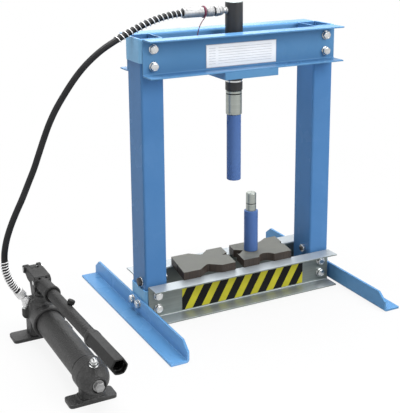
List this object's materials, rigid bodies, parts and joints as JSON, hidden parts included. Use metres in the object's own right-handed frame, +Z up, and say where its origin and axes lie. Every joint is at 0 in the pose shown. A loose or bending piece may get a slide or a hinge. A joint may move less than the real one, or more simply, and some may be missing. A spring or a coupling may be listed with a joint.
{
  "type": "hydraulic press",
  "caption": "Manual hydraulic bench press: bolted frame with a ram, loose bearing blocks and punches, and a hand pump joined to the ram by a hose.",
  "frame": {"origin": "on the floor, under the middle of the frame and the pump together", "axes": "+Z up; -Y is the front of the press and the end of the pump's handle; +X from the pump to the press"},
  "size_m": [0.8001, 0.6704, 0.66],
  "materials": {
    "blue_paint": "gloss enamel over welded and bolted steel",
    "zinc_plate": "bright zinc plating",
    "bright_steel": "plated and turned steel",
    "chrome": "hard chrome on a ground rod",
    "black_steel": "satin black enamel",
    "pump_paint": "satin dark grey enamel on castings",
    "block_steel": "brown rolled and flame-cut steel",
    "rubber": "smooth black hose and seals",
    "grip_plastic": "moulded black grip",
    "label": "white plate with ruled lines",
    "hazard": "yellow and black slanted stripes"
  },
  "bodies": {
    "frame": {"upright_left": "blue_paint", "upright_right": "blue_paint", "saddle_top_left": "blue_paint", "saddle_top_right": "blue_paint", "saddle_bottom_left": "blue_paint", "saddle_bottom_right": "blue_paint", "upper_beam_front": "blue_paint", "upper_beam_rear": "blue_paint", "lower_beam_front": "zinc_plate", "lower_beam_rear": "zinc_plate", "foot_left": "blue_paint", "foot_right": "blue_paint", "through_bolts": "bright_steel", "foot_bolts": "bright_steel", "cross_bolts": "black_steel", "washers": "bright_steel", "hex_nuts": "bright_steel", "data_plate": "label", "hazard_strip": "hazard", "cylinder_plate": "blue_paint", "cylinder_tube": "black_steel", "cylinder_cap": "zinc_plate", "cylinder_gland": "black_steel", "lock_ring": "bright_steel", "port_nipple": "bright_steel", "coupler_body": "bright_steel", "coupler_seal": "rubber", "punch_short": "blue_paint", "punch_short_ring": "black_steel", "bearing_block_left": "block_steel", "bearing_block_right": "block_steel", "hose_ferrule_top": "bright_steel", "hose_guard_top": "bright_steel", "hose": "rubber", "hose_guard_bottom": "bright_steel", "hose_ferrule_bottom": "bright_steel", "pump_head": "pump_paint", "pump_gland": "black_steel", "tank_tube": "pump_paint", "tank_end_cap": "pump_paint", "tank_filler_plug": "bright_steel", "tank_front_plug": "bright_steel", "pump_foot_rear": "pump_paint", "hose_adapter": "bright_steel", "hose_elbow": "bright_steel"},
    "ram": {"ram_rod": "chrome", "piston_seal": "rubber", "ram_head": "chrome", "ram_head_ring": "rubber", "punch_long": "blue_paint", "punch_long_ring": "black_steel"},
    "coupler_ring": {"coupler_ring": "bright_steel"},
    "plunger": {"pump_plunger": "black_steel"},
    "lever": {"pump_lever": "pump_paint", "lever_pins": "bright_steel", "handle_tube": "pump_paint", "handle_grip": "grip_plastic", "handle_screw": "black_steel"}
  },
  "joints": [
    {"name": "ram_slide", "type": "slide", "parent": "frame", "child": "ram", "axis": [0, 0, -1], "range_m": [0, 0.12]},
    {"name": "lever_lift", "type": "hinge", "parent": "frame", "child": "lever", "pos_m": [-0.3315, 0.135, 0.132], "axis": [-1, 0, 0], "range_deg": [0, 35]},
    {"name": "plunger_slide", "type": "slide", "parent": "frame", "child": "plunger", "axis": [0, 0, 1], "range_m": [0, 0.0348]},
    {"name": "coupler_ring_turn", "type": "hinge", "parent": "frame", "child": "coupler_ring", "pos_m": [0.05975, 0.09, 0.6415], "axis": [1, 0, 0], "continuous": true}
  ],
  "couplings": [
    {"joint": "plunger_slide", "follows": "lever_lift", "m_per_rad": 0.0567}
  ]
}
